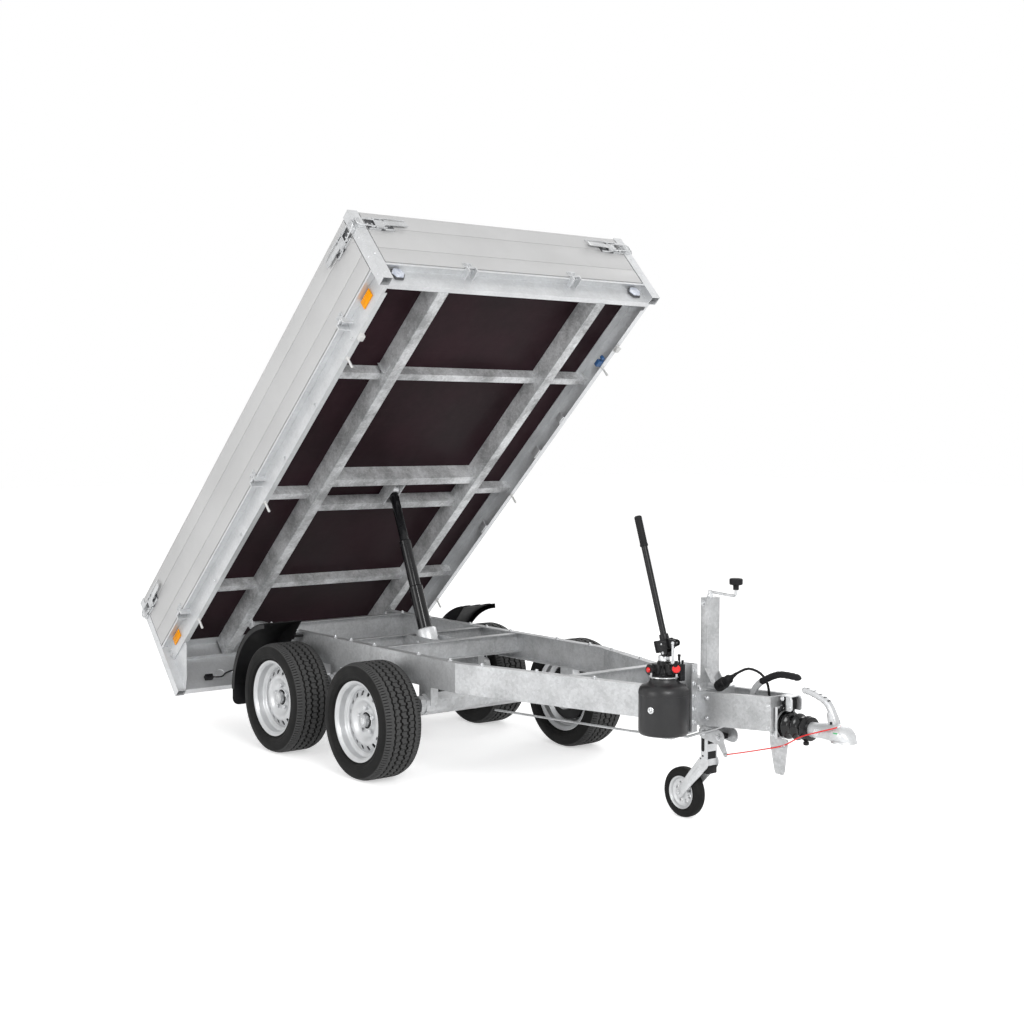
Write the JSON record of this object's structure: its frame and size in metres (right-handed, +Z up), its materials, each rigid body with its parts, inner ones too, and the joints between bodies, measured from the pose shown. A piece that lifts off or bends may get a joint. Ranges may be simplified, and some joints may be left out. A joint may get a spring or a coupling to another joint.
{
  "type": "tandem-axle tipping trailer",
  "caption": "Open tandem-axle trailer with its load bed tipped rearward by a telescopic cylinder, standing on its road wheels and a jockey wheel.",
  "frame": {"origin": "centre of the bounding box, on the ground under the wheels", "axes": "+X towards the coupling, +Y to the trailer's left, +Z up"},
  "size_m": [4.19, 1.6244, 2.4983],
  "materials": {
    "galvanised_steel": "hot-dip galvanised, satin",
    "film_faced_plywood": "film faced, semi-matte",
    "red_cable": "coated steel cable",
    "black_plastic": "moulded, semi-matte",
    "black_steel": "black paint, semi-gloss",
    "chromed_steel": "ground and chromed",
    "clear_lamp": "clear lens",
    "aluminium": "anodised, satin",
    "tyre_rubber": "matte",
    "silver_wheel": "silver paint, semi-gloss"
  },
  "bodies": {
    "chassis": {"axle_front": "galvanised_steel", "axle_rear": "galvanised_steel", "brake_rod": "galvanised_steel", "breakaway_cable": "red_cable", "chassis_beam_left": "galvanised_steel", "chassis_beam_right": "galvanised_steel", "coupling_bellows": "black_plastic", "coupling_head": "galvanised_steel", "coupling_housing": "galvanised_steel", "cross_front": "galvanised_steel", "cross_mid": "galvanised_steel", "cross_rear": "galvanised_steel", "cylinder_cradle": "galvanised_steel", "drawbar": "galvanised_steel", "handbrake_lever": "black_steel", "jockey_mast": "galvanised_steel", "mudguard_left": "black_plastic", "mudguard_right": "black_plastic", "plug": "black_plastic", "plug_holder": "black_plastic", "pump": "black_steel", "pump_bracket": "galvanised_steel", "pump_lever": "black_steel", "stand_plate": "galvanised_steel", "trailer_cable": "black_plastic"},
    "road_wheel_front_right": {"tyre_front_right": "tyre_rubber", "wheel_front_right": "silver_wheel"},
    "road_wheel_front_left": {"tyre_front_left": "tyre_rubber", "wheel_front_left": "silver_wheel"},
    "road_wheel_rear_right": {"tyre_rear_right": "tyre_rubber", "wheel_rear_right": "silver_wheel"},
    "road_wheel_rear_left": {"tyre_rear_left": "tyre_rubber", "wheel_rear_left": "silver_wheel"},
    "side_board_right": {"side_board_right": "aluminium"},
    "side_board_left": {"side_board_left": "aluminium"},
    "headboard": {"headboard": "aluminium"},
    "tailgate": {"tailgate": "aluminium"},
    "cylinder_barrel": {"cylinder_barrel": "black_steel"},
    "cylinder_stage_1": {"cylinder_stage_1": "chromed_steel"},
    "cylinder_stage_2": {"cylinder_stage_2": "chromed_steel"},
    "cylinder_rod": {"cylinder_rod": "chromed_steel"},
    "jockey_leg": {"jockey_leg": "galvanised_steel"},
    "jockey_wheel": {"jockey_wheel": "tyre_rubber"},
    "bed": {"bed_beam_left": "galvanised_steel", "bed_beam_right": "galvanised_steel", "bed_cross_front": "galvanised_steel", "bed_cross_rear": "galvanised_steel", "bed_floor": "film_faced_plywood", "bed_front_frame": "galvanised_steel", "bed_rear_frame": "galvanised_steel", "bed_side_frame_left": "galvanised_steel", "bed_side_frame_right": "galvanised_steel", "cylinder_carrier": "galvanised_steel", "front_lamp_left": "clear_lamp", "front_lamp_right": "clear_lamp", "tail_lamp_left": "clear_lamp", "tail_lamp_right": "clear_lamp"}
  },
  "joints": [
    {"name": "bed_tip", "type": "hinge", "parent": "chassis", "child": "bed", "pos_m": [-1.53399, 0, 0.53], "axis": [0, 1, 0], "range_deg": [0, 42.5]},
    {"name": "wheel_spin_front_right", "type": "hinge", "parent": "chassis", "child": "road_wheel_front_right", "pos_m": [-0.14199, -0.596, 0.2625], "axis": [0, 1, 0], "continuous": true},
    {"name": "wheel_spin_front_left", "type": "hinge", "parent": "chassis", "child": "road_wheel_front_left", "pos_m": [-0.14199, 0.596, 0.2625], "axis": [0, 1, 0], "continuous": true},
    {"name": "wheel_spin_rear_right", "type": "hinge", "parent": "chassis", "child": "road_wheel_rear_right", "pos_m": [-0.88799, -0.596, 0.2625], "axis": [0, 1, 0], "continuous": true},
    {"name": "wheel_spin_rear_left", "type": "hinge", "parent": "chassis", "child": "road_wheel_rear_left", "pos_m": [-0.88799, 0.596, 0.2625], "axis": [0, 1, 0], "continuous": true},
    {"name": "jockey_slide", "type": "slide", "parent": "chassis", "child": "jockey_leg", "axis": [0, 0, 1], "range_m": [0, 0.13]},
    {"name": "jockey_spin", "type": "hinge", "parent": "jockey_leg", "child": "jockey_wheel", "pos_m": [1.21201, 0.021, 0.102], "axis": [0, 1, 0], "continuous": true},
    {"name": "side_board_right_hinge", "type": "hinge", "parent": "bed", "child": "side_board_right", "pos_m": [-0.84879, -0.8055, 1.31792], "axis": [0.7373, 0, 0.6756], "range_deg": [0, 175]},
    {"name": "side_board_left_hinge", "type": "hinge", "parent": "bed", "child": "side_board_left", "pos_m": [-0.84879, 0.8055, 1.31792], "axis": [-0.7373, 0, -0.6756], "range_deg": [0, 175]},
    {"name": "headboard_hinge", "type": "hinge", "parent": "bed", "child": "headboard", "pos_m": [0.18746, 0, 2.26747], "axis": [0, 1, 0], "range_deg": [0, 90]},
    {"name": "tailgate_hinge", "type": "hinge", "parent": "bed", "child": "tailgate", "pos_m": [-1.88503, 0, 0.36838], "axis": [0, -1, 0], "range_deg": [0, 175]},
    {"name": "cylinder_lean", "type": "hinge", "parent": "chassis", "child": "cylinder_barrel", "pos_m": [-0.55299, 0, 0.515], "axis": [0, 1, 0], "range_deg": [0, 23.1]},
    {"name": "cylinder_stage_1_slide", "type": "slide", "parent": "cylinder_barrel", "child": "cylinder_stage_1", "axis": [-0.392, 0, 0.92], "range_m": [-0.235, 0]},
    {"name": "cylinder_stage_2_slide", "type": "slide", "parent": "cylinder_stage_1", "child": "cylinder_stage_2", "axis": [-0.392, 0, 0.92], "range_m": [-0.235, 0]},
    {"name": "cylinder_rod_slide", "type": "slide", "parent": "cylinder_stage_2", "child": "cylinder_rod", "axis": [-0.392, 0, 0.92], "range_m": [-0.235, 0]}
  ],
  "couplings": [
    {"joint": "cylinder_lean", "follows": "bed_tip", "ratio": 0.54307},
    {"joint": "cylinder_stage_1_slide", "follows": "bed_tip", "m_per_rad": -0.31665},
    {"joint": "cylinder_stage_2_slide", "follows": "bed_tip", "m_per_rad": -0.31665},
    {"joint": "cylinder_rod_slide", "follows": "bed_tip", "m_per_rad": -0.31665}
  ]
}
